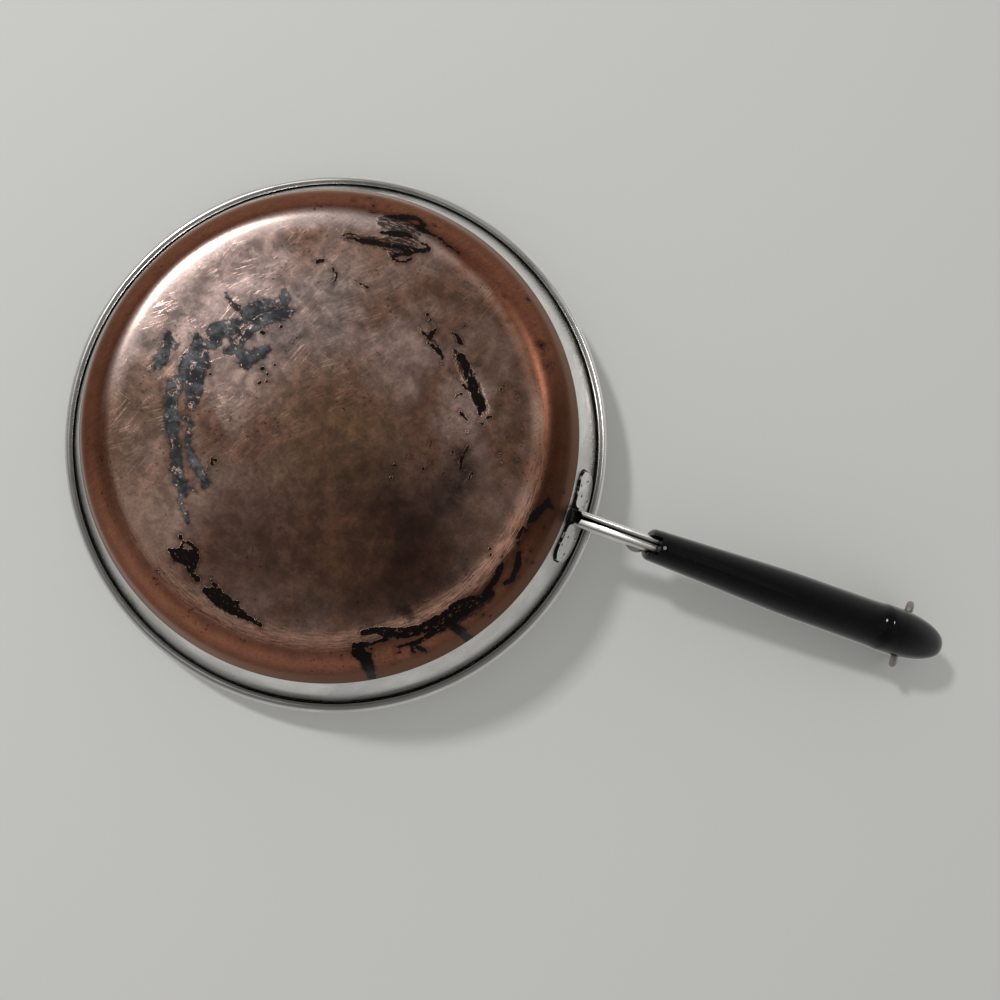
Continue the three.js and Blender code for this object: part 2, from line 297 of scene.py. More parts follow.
def makeScratches():
    group, entry, leave = startGroup("fineScratches", ["Mask"], Place="Vector", Amount="Float")
    long, sparse, shift = scratch["long"], scratch["sparse"], scratch["shift"]
    low = minus(sparse, times(entry["Amount"], sparse - scratch["dense"]))
    high = plus(low, scratch["edge"])
    masks = []
    for index, turn in enumerate(scratch["turns"]):
        offset = (shift[0] * index, shift[1], shift[2] * index)
        moved = addNode("VectorMath", {0: entry["Place"], 1: offset}, operation="ADD").outputs[0]
        scale = (long * (1 + scratch["lengthen"] * index), scratch["thin"], long)
        streak = noise(stretched(moved, turn, scale), 1.0, detail=0.0)
        patch = step(noise(moved, scratch["patch"], detail=2.0), *scratch["patchEdge"])
        masks.append(times(step(streak, low, high), patch))
    feed(leave, {"Mask": larger(*masks)})
    return group


greasy = {
    "broad": (60, 5, 0.6, 0.6), "fine": (3, 3), "smear": (0.3, 0.7), "where": (0.45, 0.6), "fleck": (0.62, 0.67),
}


def makeSmears():
    group, entry, leave = startGroup("greasySmears", ["Smear", "Fleck"], Place="Vector", Size="Float")
    place = scaled(entry["Place"], entry["Size"])
    broad = noise(place, *greasy["broad"])
    flecks = step(noise(place, *greasy["fine"]), *greasy["fleck"])
    feed(leave, {
        "Smear": step(broad, *greasy["smear"]),
        "Fleck": times(flecks, step(broad, *greasy["where"])),
    })
    return group


wing = {
    "halfSpan": 26.3, "foot": 31, "top": 51, "corner": 8,
    "line": (0.56, 0.36), "lineAt": 0.3, "grain": 5, "wander": 1.3,
    "handleSide": (120, 125), "lowSide": (48, 42),
    "root": (138.4, 1.2, 30.6), "rootReach": (5, 4.5),
}


# distance from the wings' rounded outline, seen along the handle
def makeWingLine():
    group, entry, leave = startGroup("wingLine", ["Line", "Root"], Place="Vector")
    part = split(entry["Place"])
    middle, half = (wing["foot"] + wing["top"]) / 2, (wing["top"] - wing["foot"]) / 2
    across = minus(absolute(part["Y"]), wing["halfSpan"] - wing["corner"])
    upward = minus(absolute(minus(part["Z"], middle)), half - wing["corner"])
    outside = distance(join(larger(across, 0.0), larger(upward, 0.0)))
    inside = smaller(larger(across, upward), 0.0)
    gap = minus(plus(outside, inside), wing["corner"])
    wander = sway(noise(entry["Place"], wing["grain"]), wing["wander"])
    thick = plus(absolute(minus(gap, wing["lineAt"])), wander)
    fromRoot = plus(distance(entry["Place"], wing["root"]), wander)
    feed(leave, {
        "Line": times(step(thick, *wing["line"]), step(part["X"], *wing["handleSide"]),
                      step(part["Z"], *wing["lowSide"])),
        "Root": step(fromRoot, *wing["rootReach"]),
    })
    return group


# fine lines left by turning, running round the pan
def makeSpunLines():
    group, entry, leave = startGroup("spunLines", ["Lines"], Place="Vector", Along="Float", Across="Float")
    part, flat, radius = aroundPan(entry["Place"])
    unit = addNode("VectorMath", {0: flat}, operation="NORMALIZE").outputs[0]
    side = split(scaled(unit, entry["Along"]))
    across = times(plus(radius, part["Z"]), entry["Across"])
    turned = join(side["X"], side["Y"], across)
    feed(leave, {"Lines": noise(turned, 1.0, detail=5.0, rough=0.62)})
    return group


spunLines = makeSpunLines()
scratches = makeScratches()
smears = makeSmears()
wingLine = makeWingLine()
print("shared effects ready")


# a piece's smears, flecks and scratches
def wear(spot, look):
    smear = useGroup(smears, Place=spot, Size=look["smearSize"])
    worn = useGroup(scratches, Place=spot, Amount=look["scratched"])["Mask"]
    return smear["Smear"], smear["Fleck"], worn


# a height with scratches cut into it
def relief(height, worn, look, normal=None):
    return bump(minus(height, times(worn, look["scratchDepth"])), *look["relief"], normal)


def linesRound(spot, along, across):
    return useGroup(spunLines, Place=spot, Along=along, Across=across)["Lines"]


# pan body: a drawn steel dish whose lip is rolled outwards, with an open groove behind the curl

pan = {
    "rimRadius": 154.5, "height": 60, "flatRadius": 111.5, "cornerRadius": 21,
    "sheet": 1, "beadRadius": 2.6, "lipFoot": 180, "curlStart": 80, "curlEnd": -144, "beadEnd": 120,
    "copper": 0.5, "copperEdge": 0.15, "copperTaper": 8, "copperTop": 24.5, "skinGap": 0.3,
    # mesh: steps round the pan, the corner and the curl's two faces, loops on the flat and up the wall
    "steps": 360, "cornerSteps": 16, "curlSteps": (18, 26), "flatLoop": 60,
    "outerLoops": (30, 40, 50, 54, 56, 57, 58.2), "innerLoops": (59, 56, 50, 40, 30),
    "groove": ((-1.7, 1.35), (-1, 1.5)), "smoothing": 42, "facesUp": 0.5,
}
beadCentre = (pan["rimRadius"] - pan["beadRadius"], pan["height"] - pan["beadRadius"])
cornerCentre = (pan["flatRadius"], pan["cornerRadius"])
steelCorner = pan["cornerRadius"] - pan["copper"] - pan["skinGap"]


def arc(centre, radius, start, end, steps):
    turns = [math.radians(start + (end - start) * i / steps) for i in range(steps + 1)]
    return [(centre[0] + radius * math.cos(turn), centre[1] + radius * math.sin(turn)) for turn in turns]


lipFoot = arc(beadCentre, pan["beadRadius"], pan["lipFoot"], pan["lipFoot"], 1)[0]
lipReach = (lipFoot[0] - cornerCentre[0], lipFoot[1] - cornerCentre[1])
wallTurn = math.atan2(lipReach[1], lipReach[0]) + math.asin(steelCorner / math.hypot(*lipReach))


def onWall(height, offset):
    reach = steelCorner + offset
    run = (height - cornerCentre[1] + reach * math.cos(wallTurn)) / math.sin(wallTurn)
    return (cornerCentre[0] + reach * math.sin(wallTurn) + run * math.cos(wallTurn), height)


def cornerArc(radius, steps):
    return arc(cornerCentre, radius, -90, math.degrees(wallTurn) - 90, steps)


def makePanBody():
    bottom, sheet = pan["cornerRadius"] - steelCorner, pan["sheet"]
    curlIn, curlOut = pan["curlSteps"]
    profile = [(0, bottom), (pan["flatLoop"], bottom)] + cornerArc(steelCorner, pan["cornerSteps"])
    profile += [onWall(height, 0) for height in pan["outerLoops"]]
    profile += [(beadCentre[0] + out, beadCentre[1] + up) for out, up in pan["groove"]]
    profile += arc(beadCentre, pan["beadRadius"] - sheet, pan["curlStart"], pan["curlEnd"], curlIn)
    profile += arc(beadCentre, pan["beadRadius"], pan["curlEnd"], pan["beadEnd"], curlOut)
    profile += [onWall(height, -sheet) for height in pan["innerLoops"]]
    profile += cornerArc(steelCorner - sheet, pan["cornerSteps"])[::-1]
    profile += [(pan["flatLoop"], bottom + sheet), (0, bottom + sheet)]
    return spinProfile("panBody", profile, pan["steps"], pan["smoothing"])


panBody = makePanBody()


# the inside of the dish gets the second finish
def isInside(face):
    place, height = face.center.xy.length / mm, face.center.z / mm
    turnedIn = face.normal.xy.dot(face.center.xy) < 0 or face.normal.z > pan["facesUp"]
    return turnedIn and (height < cornerCentre[1] or place < onWall(height, -pan["sheet"] / 2)[0])


steel = {
    "colour": tone(206, 204, 199), "shade": tone(176, 174, 170), "rough": (0.18, 0.34),
    "grimeAndShade": tone(10, 9, 8), "grimeRough": 0.3, "sheen": 0.1, "smearSize": 1, "scratched": 0.5,
    "lines": (20, 2.5), "lineHeight": 0.25, "scratchDepth": 0.5, "relief": (0.02, 0.35),
    # inside: brown haze towards the middle
    "haze": tone(168, 150, 126), "hazeShare": 0.4, "hazeRough": 0.12, "hazeEdge": (130, 70),
    "hazeGrain": 30, "hazeWander": 40, "flecks": 0.3,
    # outside: black in the curl and the crease below it, partly grease and partly painted shade in these hollows
    "inCurl": (2.35, 2.1), "creaseLow": (56.4, 57.4), "creaseTop": (58.9, 58.6), "behindBead": (1.8, 2),
    "creaseGrain": 9, "creaseWander": 1.4,
}


def steelBase(smear, rough):
    return mixColour(smear, steel["colour"], steel["shade"]), step(smear, 0.0, 1.0, *rough)


# blackens the steel where marked: real grime, and painted shade where the mask covers hollows
def feedSteel(shader, colour, rough, dirtAndShade, normal):
    feed(shader, {
        "Base Color": mixColour(dirtAndShade, colour, steel["grimeAndShade"]),
        "Metallic": minus(1.0, dirtAndShade),
        "Roughness": plus(rough, times(dirtAndShade, steel["grimeRough"])),
        "Specular IOR Level": steel["sheen"],
        "Normal": normal,
    })


def steelFinish(name, inside):
    material, shader, spot = newFinish(name)
    part, _, radius = aroundPan(spot)
    smear, fleck, worn = wear(spot, steel)
    colour, rough = steelBase(smear, steel["rough"])
    if inside:
        wander = times(noise(spot, steel["hazeGrain"]), steel["hazeWander"])
        cooked = step(plus(radius, wander), *steel["hazeEdge"])
        colour = mixColour(times(cooked, steel["hazeShare"]), colour, steel["haze"])
        rough = plus(rough, times(cooked, steel["hazeRough"]))
        dirtAndShade = times(fleck, steel["flecks"])
    else:
        # painted shade: the groove behind the bead and the inside of the curl are painted black together with their
        # grease
        ragged = sway(noise(spot, steel["creaseGrain"]), steel["creaseWander"])
        crease = step(plus(part["Z"], ragged), *steel["creaseLow"])
        behind = step(radius, *[beadCentre[0] - reach for reach in steel["behindBead"]])
        crease = times(crease, behind, step(part["Z"], *steel["creaseTop"]))
        fromBead = distance(join(radius, part["Z"]), (*beadCentre, 0))
        around = useGroup(wingLine, Place=spot)
        dirtAndShade = larger(crease, step(fromBead, *steel["inCurl"]), around["Line"], around["Root"])
    lines = times(linesRound(spot, *steel["lines"]), steel["lineHeight"])
    feedSteel(shader, colour, rough, dirtAndShade, relief(lines, worn, steel))
    return material


steelOutside, steelInside = steelFinish("polishedSteel", False), steelFinish("scouredSteel", True)
finishPiece(panBody, "pan", "steel", "pan_shell", steelOutside, steelInside)
for face in panBody.data.polygons:
    face.material_index = int(isInside(face))


# copper skin under the dish, with its burnt-on marks carried as distances on the mesh

copper = {
    "steps": 600, "ringWidth": 1.05, "dish": 0.42, "dishEdge": (90, 110),
    "cornerSteps": 22, "wallSteps": 6, "backSteps": 6, "markReach": 14, "smoothing": 40,
    "plain": tone(168, 136, 121), "brown": tone(140, 100, 80), "band": tone(106, 66, 50),
    "lowBandReflection": tone(146, 96, 76), "handleBandReflection": tone(68, 41, 29), "outerBand": tone(62, 39, 29),
    "ridge": tone(236, 180, 154), "paleRidge": tone(188, 166, 158), "worn": tone(225, 190, 175),
    "fleck": tone(44, 28, 21), "stain": tone(50, 32, 24), "soot": tone(9, 7, 7), "glance": tone(240, 216, 205),
    "flakeDark": tone(44, 46, 50), "flakePale": tone(100, 103, 107), "bubble": tone(168, 160, 158),
    "metal": 0.95, "burntMetal": 0.85, "burntRough": 0.2, "film": 0.36, "filmRough": 0.27, "sheen": 0.11,
    "smearSize": 1.6, "scratched": 0.9, "scratchDepth": 0.12, "grainHeight": 0.1,
    "relief": (0.1, 0.45), "burntRelief": (0.12, 0.7),
    "brushTurn": -50, "brushScale": (14, 1.6, 14), "ridgeLines": (14, 1.6), "strands": (24, 1.1),
    "wander": 60, "bandWander": 0.06, "cloudReach": (1.2, 0.3), "darkPlace": (40, 55, 0),
    # how strongly each layer covers
    "scratch": 0.5, "smearFleck": 0.75, "flakeOutline": 0.75, "flakeHighlight": 0.6, "bubbles": 0.7, "haze": 0.9,
    # how far noise moves the edges of the marks
    "ragged": {"medium": 4, "crumb": 4, "fine": 2}, "sootRagged": 0.6, "stainRagged": 2,
    "grit": (0.4, 0.6),
}
# burnt-on marks as chains of x, y, half width in tenths of a millimetre, seen from below
marks = {
    "greyFlakes": [
        [-436,-607,18, -421,-563,28], [-460,-539,22, -510,-504,32, -554,-471,32, -586,-436,30, -582,-395,16],
        [-358,-525,5, -388,-504,24, -440,-465,25, -494,-419,25, -533,-373,26, -561,-318,25, -577,-263,26,
        -572,-230,23], [-563,-226,20, -518,-213,32, -501,-177,26], [-503,-190,29, -466,-242,26, -435,-284,21,
        -413,-284,5], [-616,-373,14, -653,-342,30, -696,-307,39, -724,-290,30], [-699,-277,39, -702,-227,32,
        -728,-204,20], [-605,-324,11, -631,-301,9, -662,-269,9, -667,-225,8], [-625,-282,6, -604,-261,6, -596,-221,20,
        -624,-203,8], [-793,-231,12, -771,-200,28, -767,-149,39, -773,-98,49, -770,-50,49, -742,-11,41, -717,29,30,
        -700,86,30], [-723,-171,14, -709,-113,20, -678,-102,8], [-704,-59,16, -694,8,14, -681,80,9], [-797,8,13,
        -807,46,33, -809,89,30, -802,128,26], [-933,-197,8, -919,-160,23, -926,-102,30, -928,-52,30, -933,-15,14],
        [-881,-131,9, -862,-165,5], [-727,-493,3, -677,-457,5, -647,-442,12, -634,-444,7], [-814,37,38, -804,95,29,
        -796,148,29, -775,207,38, -749,265,31, -720,322,13, -696,358,21, -673,416,23, -647,473,23, -614,517,28,
        -584,556,19, -583,605,13, -551,649,9, -504,705,2], [-724,12,38, -721,67,19, -716,110,11, -686,133,11,
        -679,75,11, -682,20,13], [-729,197,4, -695,186,6, -663,214,6, -660,268,8, -637,327,8, -615,363,11,
        -590,388,19, -551,419,21, -517,446,17, -488,480,15, -485,512,5], [-565,534,5, -537,535,6, -514,538,4],
    ],
    "bareSpots": [
        [-491,-549,14], [-552,-447,9], [-484,-510,8, -460,-521,7], [-584,-362,13], [-645,-261,21], [-678,-179,18],
        [-762,-67,20], [-707,68,13], [-525,-274,25, -471,-317,25],
    ],
    "blackSoot": [
        [-507,343,4, -490,370,13, -476,347,8], [-544,865,15, -485,878,40, -428,870,42, -409,923,21], [-526,778,5,
        -495,805,9, -495,849,11], [-413,821,8, -470,797,8], [-389,949,11, -356,965,14], [-305,1002,17, -252,1012,36,
        -192,1029,39, -130,1052,29, -71,1065,15, -14,1073,11, 22,1082,11], [-293,944,5, -237,980,13], [-132,1015,13,
        -120,1003,5], [537,953,15, 581,924,17, 667,904,26, 747,883,28, 809,841,27, 867,789,32, 921,755,40, 964,686,46,
        1013,637,39, 1062,588,26, 1095,555,22, 1109,545,8], [520,1030,19, 544,1055,34, 587,1074,35, 620,1121,28,
        645,1179,20], [541,1012,13, 575,1002,11, 602,1019,8], [599,992,7, 642,958,9, 677,934,8, 716,921,5],
        [716,971,5, 766,943,8, 811,914,12, 860,865,14, 889,823,11, 915,801,19], [797,939,8, 811,968,8, 828,969,4],
        [828,935,6, 857,943,12, 882,954,4], [720,1003,4, 748,988,6], [951,778,13, 1007,783,26, 1063,816,21,
        1084,812,11], [1064,560,13, 1088,502,14, 1100,455,16, 1101,410,18, 1106,385,8], [1152,476,11, 1177,451,14,
        1187,414,15, 1185,360,18, 1173,309,13, 1179,296,6], [-65,-1165,5, -21,-1178,11, 16,-1192,18, 53,-1208,20,
        100,-1211,13, 137,-1188,11], [73,-1170,6, 117,-1164,12, 155,-1155,13, 198,-1152,9, 244,-1143,9, 284,-1128,10,
        318,-1110,6, 359,-1103,5], [-60,-1071,8, -16,-1083,14, 24,-1090,16, 59,-1109,14, 97,-1101,10, 136,-1089,7,
        186,-1085,7, 212,-1072,6], [-255,-989,3, -193,-990,6, -146,-995,11, -100,-1004,14, -54,-1013,14, -7,-1018,13,
        32,-1025,12, 72,-1031,16, 114,-1031,20, 159,-1043,13, 196,-1056,12, 213,-1069,6], [27,-959,5, 48,-980,8,
        83,-999,11, 120,-1012,11], [35,-958,5, 71,-953,5, 109,-965,5, 135,-989,4], [-107,-781,3, -69,-773,5,
        -33,-771,9], [-304,-830,11, -330,-813,9], [-256,-822,3, -231,-798,4, -210,-788,5, -203,-758,3, -212,-734,3],
        [-289,-706,6, -253,-721,3], [293,-647,6, 324,-637,8, 364,-615,11], [376,-671,10, 368,-648,15, 365,-611,10],
        [364,-591,4, 399,-582,8, 431,-569,10, 463,-544,7, 467,-509,4], [466,-686,4, 498,-677,8, 523,-649,11,
        541,-643,5], [505,-607,4, 527,-590,9, 556,-576,24, 592,-540,22, 620,-501,23, 653,-464,24, 681,-426,24,
        714,-389,27, 740,-358,24, 743,-327,14], [609,-441,8, 630,-425,5], [596,-373,6, 625,-395,6], [637,-299,4,
        662,-284,8, 696,-265,8], [746,-280,5, 775,-278,5], [785,-317,7, 807,-325,7], [1232,-19,6, 1227,15,21,
        1204,55,21, 1180,104,21, 1164,141,10], [1245,8,11, 1273,25,4], [1151,161,6, 1143,195,11, 1142,227,10],
        [1169,190,6, 1178,167,5], [1107,333,3, 1092,362,4], [741,-143,6, 730,-84,9, 737,-15,7], [808,-15,5, 797,21,6,
        748,85,5], [-392,-425,9], [-473,-362,13], [-331,-312,6], [-356,-223,7], [-292,-396,5], [-308,-362,4],
        [-369,-124,6], [-411,-183,9], [-379,-163,6], [-404,-105,10], [-659,-67,5], [-566,987,7], [-188,-1245,9],
        [-204,-1233,5], [-150,-1203,9], [-200,-1179,5], [-147,-1158,7], [-131,-1164,7], [-260,-1196,5], [-80,-1232,5],
        [185,-1209,6], [168,-1255,4], [1097,671,7], [1135,666,8], [1224,324,9], [1262,327,9], [1149,257,9],
        [1227,273,5], [1208,424,5], [470,1112,5], [1020,334,11], [1035,361,8], [303,-792,5], [313,-736,8],
        [333,-711,7], [363,-693,6], [643,-598,5], [652,-577,5], [651,-516,5], [515,-739,6], [670,-958,7],
        [730,-841,5], [787,-1002,12], [931,-778,12], [809,-482,6], [900,-472,5], [976,-315,6], [914,-265,5],
        [862,-256,5], [710,-212,7], [557,46,8], [467,13,6], [1256,131,5], [1301,-85,9], [905,-151,7], [933,-113,8],
        [1011,-151,6], [1027,329,7], [1024,369,5], [410,76,9], [413,147,7], [559,43,6], [578,3,4], [675,-86,7],
        [723,-41,5], [771,-13,8], [717,105,7], [790,125,6],
    ],
    "thinSoot": [
        [-65,-1130,42, 8,-1144,58, 84,-1118,66, 99,-1043,58, 38,-994,37], [-235,-1008,13, -133,-1003,29, -28,-1022,42,
        57,-1035,47], [520,-592,21, 570,-542,37, 635,-480,39, 704,-408,42, 753,-346,37], [331,-641,16, 376,-622,21,
        427,-572,21, 470,-542,16], [908,781,48, 967,696,61, 1034,635,51, 1097,560,32], [550,1041,42, 613,1111,36],
        [-510,870,27, -443,875,53], [-262,1015,46, -166,1042,48, -71,1065,27],
    ],
    "softStains": [
        [725,787,38], [-218,-1002,17], [937,-772,30], [1005,-687,27], [733,-97,33], [735,-46,23], [759,-114,16,
        758,14,22, 751,155,18],
    ],
}


def makeCopperSkin():
    flatRadius, top, taper = pan["flatRadius"], pan["copperTop"], pan["copperTaper"]
    low, high = copper["dishEdge"]

    def sunk(radius):
        share = min(max((radius - low) / (high - low), 0), 1)
        return copper["dish"] * (1 - share * share * (3 - 2 * share))

    rings = round(flatRadius / copper["ringWidth"])
    profile = [(flatRadius * i / rings, sunk(flatRadius * i / rings)) for i in range(rings)]
    profile += cornerArc(pan["cornerRadius"], copper["cornerSteps"])
    start = profile[-1][1]
    for i in range(copper["wallSteps"]):
        height = start + (top - start) * (i + 1) / copper["wallSteps"]
        thinned = max(0, height - top + taper) / taper
        thick = pan["copper"] + (pan["copperEdge"] - pan["copper"]) * thinned
        profile.append(onWall(height, pan["skinGap"] + thick))
    profile += [onWall(top, pan["skinGap"])] + cornerArc(steelCorner + pan["skinGap"], copper["backSteps"])[::-1]
    profile += [(pan["flatLoop"], pan["copper"]), (0, pan["copper"])]
    return spinProfile("copperSkin", profile, copper["steps"], copper["smoothing"])


# distance to the nearest mark's edge, negative inside it
def markDistance(places, chains):
    nearest = np.full(len(places), copper["markReach"])
    for chain in chains:
        points = np.reshape(chain, (-1, 3)) / 10
        ends = points[1:] if len(points) > 1 else points
        for (x0, y0, w0), (x1, y1, w1) in zip(points, ends):
            line = np.array((x1 - x0, y1 - y0))
            offset = places - (x0, y0)
            share = np.clip(offset @ line / max(line @ line, 1e-6), 0, 1)
            away = np.linalg.norm(offset - share[:, None] * line, axis=1)
            nearest = np.minimum(nearest, away - (w0 + (w1 - w0) * share))
    return nearest


def writeMarks(piece):
    places = np.empty(len(piece.data.vertices) * 3)
    piece.data.vertices.foreach_get("co", places)
    places = places.reshape(-1, 3)[:, :2] / mm
    for name in ("greyFlakes", "blackSoot", "thinSoot", "softStains"):
        values = markDistance(places, marks[name])
        if name == "greyFlakes":
            values = np.maximum(values, -markDistance(places, marks["bareSpots"]))
        layer = piece.data.attributes.new(name, "FLOAT", "POINT")
        layer.data.foreach_set("value", values.astype(np.float32))


copperSkin = makeCopperSkin()
writeMarks(copperSkin)

# noise: size, detail, roughness, distortion
copperGrain = {
    "broad": (34, 6, 0.6), "medium": (9, 7, 0.68, 0.3), "fine": (1.5, 4, 0.62), "crumb": (3.2, 5, 0.7),
    "blotch": (15, 7, 0.62), "lifted": (5.5, 4, 0.6), "bubble": (2.4, 2),
}
# masks: where each begins and is full, then its value at both, if not 0 and 1
copperMask = {
    "brown": (0.36, 0.64), "band": (110.5, 115), "lowSide": (45, 105), "handleX": (95, 118),
    "handleY": (50, 5), "outerBand": (121, 133, 0, 0.9), "ridgeIn": (103, 110.5),
    "ridgeOut": (118.5, 113.5), "rubbed": (0.32, 0.66), "toHandle": (-50, 100, 0.12, 0.95),
    "toLow": (-30, 45, 0.1, 1), "fromHandle": (-70, -130), "mottled": (0.3, 0.7, 0.88, 1.1),
    "speckled": (0.3, 0.7, 0.88, 1.12), "scoured": (60, -50), "brushed": (0, 1, 0.12, 0.45),
    "blotch": (0.62, 0.4), "dark": (78, 35, 0, 0.36), "offBand": (0, 1, 1, 0.25),
    "scorch": (2.5, 0, 0, 0.4), "stain": (3, -3, 0, 0.75), "holes": (0.605, 0.62), "flake": (0.4, 0.1),
    "rimIn": (0.585, 0.6), "rimOut": (0.64, 0.615), "rimOnFlake": (0.2, -0.4), "outlineOut": (0.8, 0.45),
    "outlineIn": (-0.3, 0.1), "bubble": (0.62, 0.68), "bubblePatch": (0.44, 0.54), "soot": (0.25, -0.15),
    "grit": (0.625, 0.57), "haze": (0.6, -1.6), "hazeStrands": (0.6, 0.5), "paleFlake": (0.4, 0.66),
    "rough": (0.3, 0.7, 0.18, 0.28), "polished": (105, 111), "bandRough": (-30, 60, 0.24, 0.36),
}
# broad clouds: x, y, reach, colour, strength
copperClouds = [
    (-84, -42, 60, tone(172, 150, 143), 0.85), (-92, 33, 40, tone(134, 104, 86), 0.75),
    (-72, 72, 36, tone(206, 168, 150), 0.8), (-48, 4, 18, tone(200, 170, 156), 0.6),
    (65, -37, 18, tone(224, 188, 172), 0.8), (-30, -55, 35, tone(152, 134, 129), 0.7),
    (25, -43, 25, tone(190, 158, 147), 0.7), (8, 4, 44, tone(138, 101, 74), 0.9),
    (54, 50, 48, tone(74, 42, 26), 0.9), (20, 58, 34, tone(134, 93, 68), 0.85),
    (73, 6, 13, tone(72, 50, 40), 0.6), (-20, 70, 30, tone(104, 70, 53), 0.65),
]


def copperFinish():
    material, shader, spot = newFinish("burntCopper")
    part, flat, radius = aroundPan(spot)
    across = plus(part["X"], part["Y"])
    grain = {name: noise(spot, *settings) for name, settings in copperGrain.items()}
    medium = grain["medium"]

    def mask(name, value):
        return step(value, *copperMask[name])

    def cover(share, name):
        return mixColour(share, colour, copper[name])

    def portion(name, value):
        return times(value, copper[name])

    # clean copper: brown clouds on the flat, a darker band up the wall, lighter on the low side and darker by the
    # handle as painted reflection, a ridge rubbed bright between them
    colour = mixColour(mask("brown", grain["broad"]), copper["plain"], copper["brown"])
    wander = sway(grain["broad"], copper["wander"])
    outer, inner = copper["cloudReach"]
    for x, y, reach, cloud, strength in copperClouds:
        away = plus(distance(flat, (x, y, 0)), wander)
        colour = mixColour(step(away, reach * outer, reach * inner, 0.0, strength), colour, cloud)
    inBand = mask("band", plus(radius, portion("bandWander", wander)))
    byHandle = times(mask("handleX", part["X"]), mask("handleY", part["Y"]))
    # painted reflection: the band is toned lighter on the low side and darker by the handle
    band = mixColour(mask("lowSide", part["Y"]), copper["band"], copper["lowBandReflection"])
    band = mixColour(byHandle, band, copper["handleBandReflection"])
    band = mixColour(mask("outerBand", radius), band, copper["outerBand"])
    colour = mixColour(inBand, colour, band)
    onRidge = times(mask("ridgeIn", radius), mask("ridgeOut", radius))
    rubbed = times(onRidge, mask("rubbed", linesRound(spot, *copper["ridgeLines"])))
    colour = cover(times(rubbed, mask("toHandle", across), mask("toLow", part["Y"])), "ridge")
    colour = cover(times(onRidge, mask("fromHandle", across)), "paleRidge")

    # mottling and brushing, scratches where the flat was scoured, greasy flecks
    brushed = noise(stretched(spot, copper["brushTurn"], copper["brushScale"]), 1.0)
    scoured = mask("scoured", across)
    brushing = plus(times(minus(brushed, 0.5), mask("brushed", scoured)), 1.0)
    dark = mask("dark", distance(flat, copper["darkPlace"]))
    clean = minus(1.0, times(mask("blotch", grain["blotch"]), dark))
    mottled = times(mask("mottled", medium), mask("speckled", grain["fine"]), brushing, clean)
    grey = addNode("CombineColor", {0: mottled, 1: mottled, 2: mottled}).outputs[0]
    colour = mixColour(1.0, colour, grey, "MULTIPLY")
    smear, fleck, worn = wear(spot, copper)
    worn = times(worn, scoured, mask("offBand", inBand))
    colour = cover(portion("scratch", worn), "worn")
    colour = cover(portion("smearFleck", fleck), "fleck")

    # burnt-on marks: the distances on the mesh with ragged edges
    ragged = plus(*[sway(grain[name], reach) for name, reach in copper["ragged"].items()])

    def edge(name, push=ragged):
        return plus(addNode("Attribute", tree=shader.id_data, attribute_name=name).outputs["Fac"], push)

    sootEdge, flakeEdge = edge("blackSoot", portion("sootRagged", ragged)), edge("greyFlakes")
    colour = cover(mask("scorch", smaller(sootEdge, flakeEdge)), "fleck")
    colour = cover(mask("stain", edge("softStains", portion("stainRagged", ragged))), "stain")
    lifted = grain["lifted"]
    flake = times(mask("flake", flakeEdge), minus(1.0, mask("holes", lifted)))
    # painted highlight: a pale rim along the raised edges of the holes in the flakes, in worn copper's colour
    flakeEdgeHighlight = times(mask("rimIn", lifted), mask("rimOut", lifted), mask("rimOnFlake", flakeEdge))
    outline = times(mask("outlineOut", flakeEdge), mask("outlineIn", flakeEdge))
    bubbles = times(mask("bubble", grain["bubble"]), mask("bubblePatch", medium))
    strands = linesRound(spot, *copper["strands"])
    strandShare, crumbShare = copper["grit"]
    grit = plus(times(strands, strandShare), times(grain["crumb"], crumbShare))
    haze = times(mask("haze", edge("thinSoot")), mask("hazeStrands", strands))
    soot = larger(times(mask("soot", sootEdge), mask("grit", grit)), portion("haze", haze))
    flakeColour = mixColour(mask("paleFlake", medium), copper["flakeDark"], copper["flakePale"])
    flakeColour = mixColour(portion("bubbles", bubbles), flakeColour, copper["bubble"])
    colour = cover(portion("flakeOutline", outline), "fleck")
    colour = mixColour(flake, colour, flakeColour)
    # the flakes' painted edge highlight
    colour = cover(portion("flakeHighlight", flakeEdgeHighlight), "worn")
    colour = cover(soot, "soot")

    burnt = larger(flake, soot)
    polished = mask("polished", radius)
    rough = plus(times(mask("rough", medium), minus(1.0, polished)),
                 times(polished, mask("bandRough", part["X"])))
    pitted = bump(burnt, *copper["burntRelief"])
    feed(shader, {
        "Base Color": colour,
        "Metallic": minus(copper["metal"], portion("burntMetal", burnt)),
        "Roughness": plus(rough, portion("burntRough", burnt)),
        "Coat Weight": portion("film", minus(1.0, larger(burnt, inBand))),
        "Coat Roughness": copper["filmRough"],
        "Specular IOR Level": copper["sheen"],
        "Specular Tint": copper["glance"],
        "Normal": relief(portion("grainHeight", grain["fine"]), worn, copper, pitted),
    })
    return material


finishPiece(copperSkin, "pan", "copper", "copper_base", copperFinish())


# handle: everything on it is drawn along X from the pan's wall, then set down at the handle's rise

handle = {"root": onWall(41.0, 0.0), "rise": 12.0}
handlePlace = (Matrix.Translation((handle["root"][0] * mm, 0, handle["root"][1] * mm))
               @ Matrix.Rotation(math.radians(-handle["rise"]), 4, "Y"))

